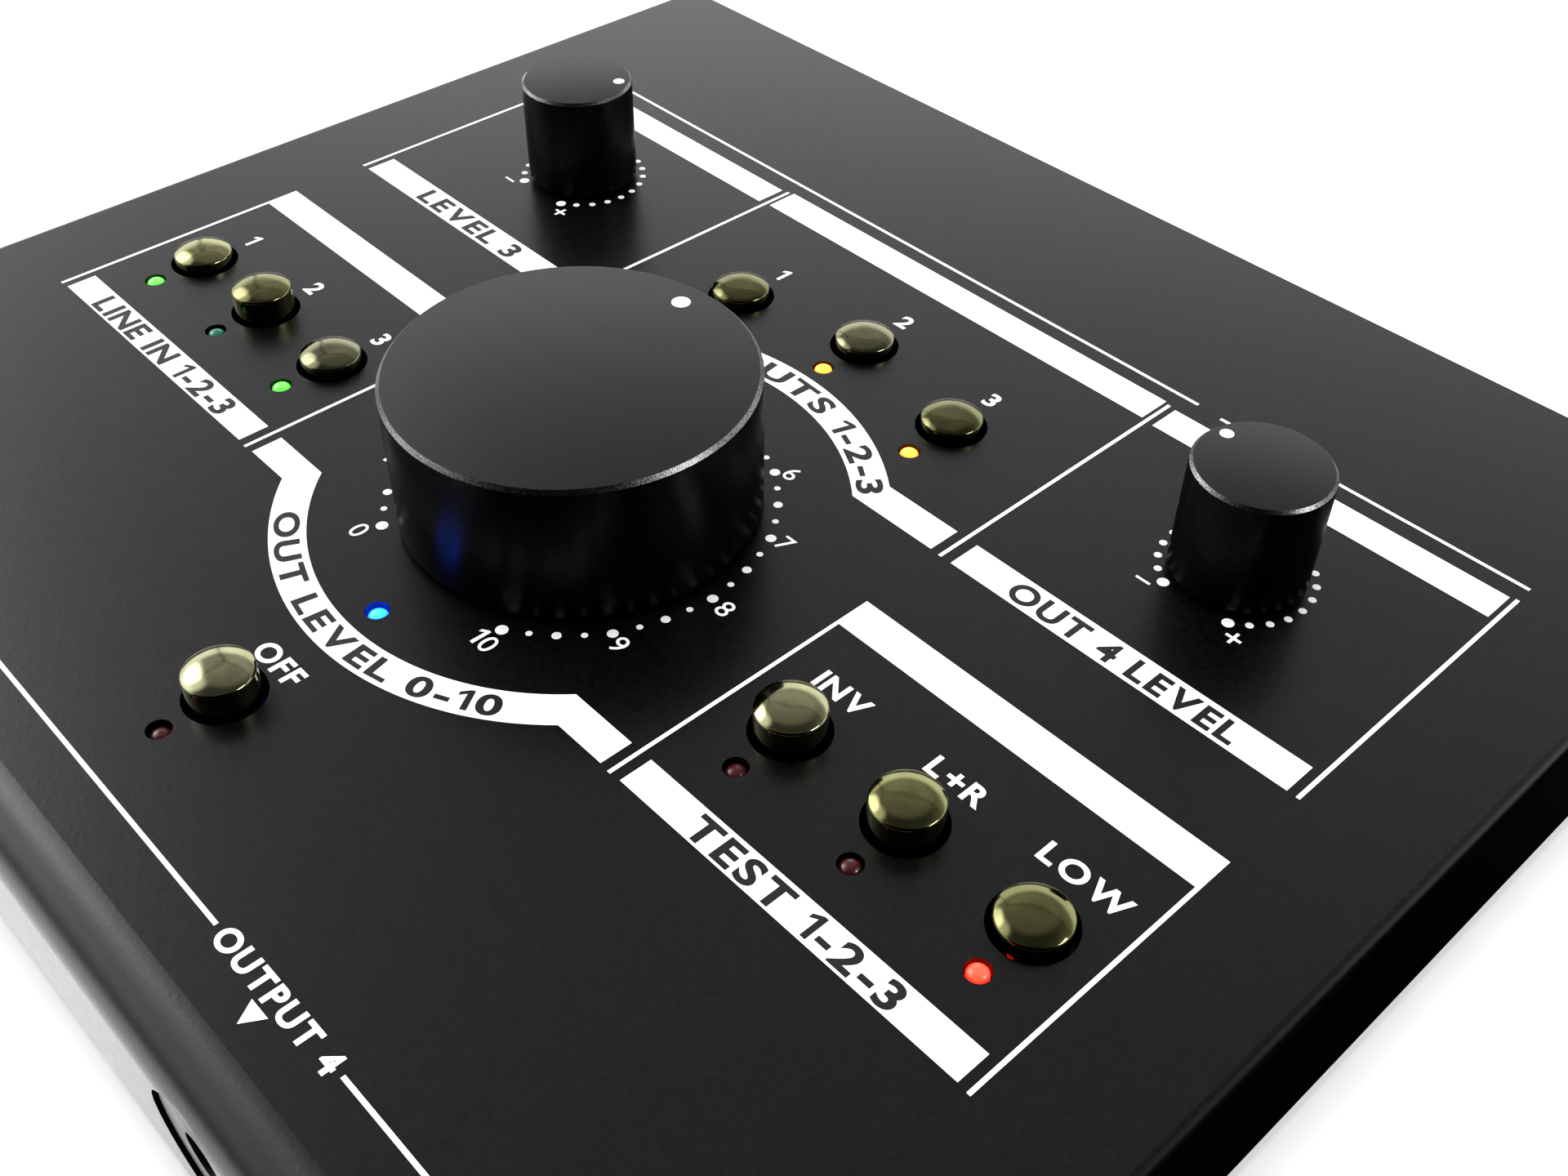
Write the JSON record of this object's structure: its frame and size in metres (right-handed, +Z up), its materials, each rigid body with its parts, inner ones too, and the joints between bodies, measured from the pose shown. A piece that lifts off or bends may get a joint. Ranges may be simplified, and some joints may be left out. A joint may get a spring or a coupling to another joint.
{
  "type": "studio monitor controller",
  "caption": "Flat desktop box in folded black steel with a large central level knob, two small knobs, latching push-buttons, indicator lamps and plug sockets at front and rear.",
  "frame": {"origin": "centre of the footprint, sockets included, on the desk plane under the feet", "axes": "+X to the right seen from the front, +Y to the rear socket panel, +Z up"},
  "size_m": [0.22, 0.1998, 0.0508],
  "materials": {
    "case_coat": "satin fine-texture black powder coat",
    "foot_rubber": "matt black",
    "screw_steel": "blackened",
    "board_laminate": "green solder mask",
    "plated_brass": "nickel-tinted",
    "black_moulding": "moulded black",
    "white_moulding": "moulded off-white",
    "can_aluminium": "bare",
    "zinc_housing": "plated",
    "plated_steel": "nickel plated",
    "shaft_steel": "turned",
    "knob_anodised": "black anodised, fine grain",
    "cap_metal": "dark smoked chrome with an olive tint",
    "green_lamp": "green diffused lens",
    "amber_lamp": "amber diffused lens",
    "red_lamp": "red diffused lens",
    "blue_lamp": "blue diffused lens",
    "socket_moulding": "moulded black"
  },
  "bodies": {
    "case": {"top_cover": "case_coat", "base_chassis": "case_coat", "rubber_feet": "foot_rubber", "cover_screws": "screw_steel", "main_board": "board_laminate", "control_board": "board_laminate", "board_standoffs": "plated_brass", "board_spacers": "plated_brass", "board_screws": "screw_steel", "board_links": "black_moulding", "relays": "white_moulding", "amplifier_chips": "black_moulding", "supply_capacitors": "can_aluminium", "master_pot": "zinc_housing", "level_pots": "zinc_housing", "pot_nuts": "plated_steel", "switch_bodies": "black_moulding", "source_lamps": "green_lamp", "speaker_lamps": "amber_lamp", "status_lamps": "red_lamp", "power_lamp": "blue_lamp", "lamp_posts": "black_moulding", "input_sockets": "socket_moulding", "output_sockets": "socket_moulding", "socket_nuts": "plated_steel", "aux_socket": "socket_moulding", "aux_nut": "plated_steel", "dc_inlet": "socket_moulding", "headphone_socket": "socket_moulding", "power_switch": "black_moulding"},
    "master_dial": {"master_knob": "knob_anodised", "master_shaft": "shaft_steel", "master_grub_screw": "screw_steel"},
    "headphone_dial": {"headphone_knob": "knob_anodised", "headphone_shaft": "shaft_steel", "headphone_grub_screw": "screw_steel"},
    "aux_dial": {"aux_knob": "knob_anodised", "aux_shaft": "shaft_steel", "aux_grub_screw": "screw_steel"},
    "source_1_button": {"cap_source_1": "cap_metal", "plunger_source_1": "white_moulding"},
    "source_2_button": {"cap_source_2": "cap_metal", "plunger_source_2": "white_moulding"},
    "source_3_button": {"cap_source_3": "cap_metal", "plunger_source_3": "white_moulding"},
    "phase_button": {"cap_phase": "cap_metal", "plunger_phase": "white_moulding"},
    "mono_button": {"cap_mono": "cap_metal", "plunger_mono": "white_moulding"},
    "dim_button": {"cap_dim": "cap_metal", "plunger_dim": "white_moulding"},
    "speaker_a_button": {"cap_speaker_a": "cap_metal", "plunger_speaker_a": "white_moulding"},
    "speaker_b_button": {"cap_speaker_b": "cap_metal", "plunger_speaker_b": "white_moulding"},
    "subwoofer_button": {"cap_subwoofer": "cap_metal", "plunger_subwoofer": "white_moulding"},
    "mute_button": {"cap_mute": "cap_metal", "plunger_mute": "white_moulding"},
    "power_key": {"power_button": "black_moulding"}
  },
  "joints": [
    {"name": "master_turn", "type": "hinge", "parent": "case", "child": "master_dial", "pos_m": [0, -0.0176, 0.04], "axis": [0, 0, 1], "range_deg": [-156.3, 143.7]},
    {"name": "headphone_turn", "type": "hinge", "parent": "case", "child": "headphone_dial", "pos_m": [0.0664, 0.0347, 0.04], "axis": [0, 0, 1], "range_deg": [-226.3, 73.7]},
    {"name": "aux_turn", "type": "hinge", "parent": "case", "child": "aux_dial", "pos_m": [-0.0664, 0.0347, 0.04], "axis": [0, 0, 1], "range_deg": [-101, 199]},
    {"name": "source_1_press", "type": "slide", "parent": "case", "child": "source_1_button", "axis": [0, 0, 1], "range_m": [-0.0005, 0.00225]},
    {"name": "source_2_press", "type": "slide", "parent": "case", "child": "source_2_button", "axis": [0, 0, 1], "range_m": [-0.00275, 0], "stiffness_N_per_m": 400, "springref_m": 0.001},
    {"name": "source_3_press", "type": "slide", "parent": "case", "child": "source_3_button", "axis": [0, 0, 1], "range_m": [-0.0005, 0.00225]},
    {"name": "phase_press", "type": "slide", "parent": "case", "child": "phase_button", "axis": [0, 0, 1], "range_m": [-0.00275, 0], "stiffness_N_per_m": 400, "springref_m": 0.001},
    {"name": "mono_press", "type": "slide", "parent": "case", "child": "mono_button", "axis": [0, 0, 1], "range_m": [-0.00275, 0], "stiffness_N_per_m": 400, "springref_m": 0.001},
    {"name": "dim_press", "type": "slide", "parent": "case", "child": "dim_button", "axis": [0, 0, 1], "range_m": [-0.0005, 0.00225]},
    {"name": "speaker_a_press", "type": "slide", "parent": "case", "child": "speaker_a_button", "axis": [0, 0, 1], "range_m": [-0.0005, 0.00225]},
    {"name": "speaker_b_press", "type": "slide", "parent": "case", "child": "speaker_b_button", "axis": [0, 0, 1], "range_m": [-0.0005, 0.00225]},
    {"name": "subwoofer_press", "type": "slide", "parent": "case", "child": "subwoofer_button", "axis": [0, 0, 1], "range_m": [-0.0005, 0.00225]},
    {"name": "mute_press", "type": "slide", "parent": "case", "child": "mute_button", "axis": [0, 0, 1], "range_m": [-0.00275, 0], "stiffness_N_per_m": 400, "springref_m": 0.001},
    {"name": "power_press", "type": "slide", "parent": "case", "child": "power_key", "axis": [0, 1, 0], "range_m": [-0.0005, 0.002]}
  ]
}
